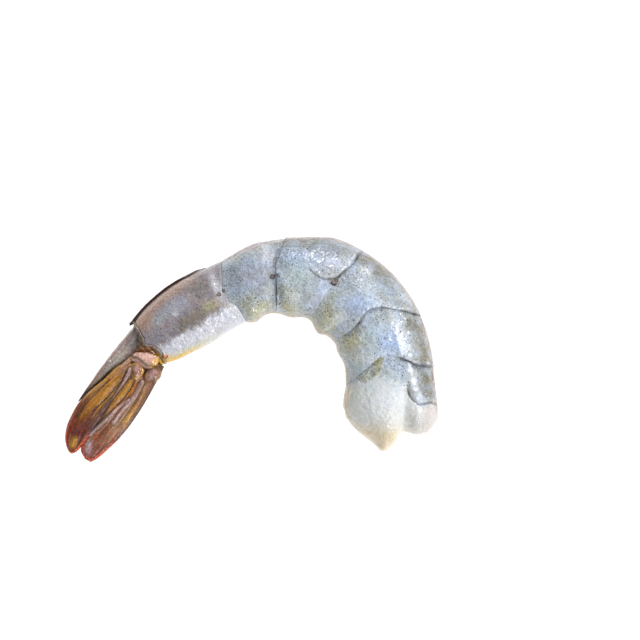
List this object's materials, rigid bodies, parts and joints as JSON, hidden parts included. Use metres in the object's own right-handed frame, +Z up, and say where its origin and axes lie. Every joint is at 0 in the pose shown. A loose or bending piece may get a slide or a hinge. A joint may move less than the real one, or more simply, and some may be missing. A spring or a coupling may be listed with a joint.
{
  "type": "raw tiger prawn",
  "caption": "Raw peeled prawn curled on its side: folded translucent flesh, one shelled tail segment with a keel, and a closed tail fan.",
  "frame": {"origin": "under the middle of the prawn's outline, on the surface that it lies on", "axes": "+X from the tail fan towards the cut front end, +Y towards the back and away from the curl, +Z up through the prawn's right side"},
  "size_m": [0.0882, 0.053, 0.0177],
  "materials": {
    "flesh": "wet, translucent blue-grey raw flesh with fine dark dots",
    "tail_shell": "wet, thin mauve-grey shell with fine dark dots",
    "fan_shell": "wet, golden-brown shell that turns crimson at the tips"
  },
  "bodies": {
    "root": {"meat": "flesh", "tail_segment": "tail_shell", "telson": "tail_shell", "fan_base_right": "tail_shell", "fan_base_left": "tail_shell", "inner_blade_right": "fan_shell", "inner_blade_left": "fan_shell", "outer_blade_right": "fan_shell", "outer_blade_left": "fan_shell"}
  },
  "joints": []
}
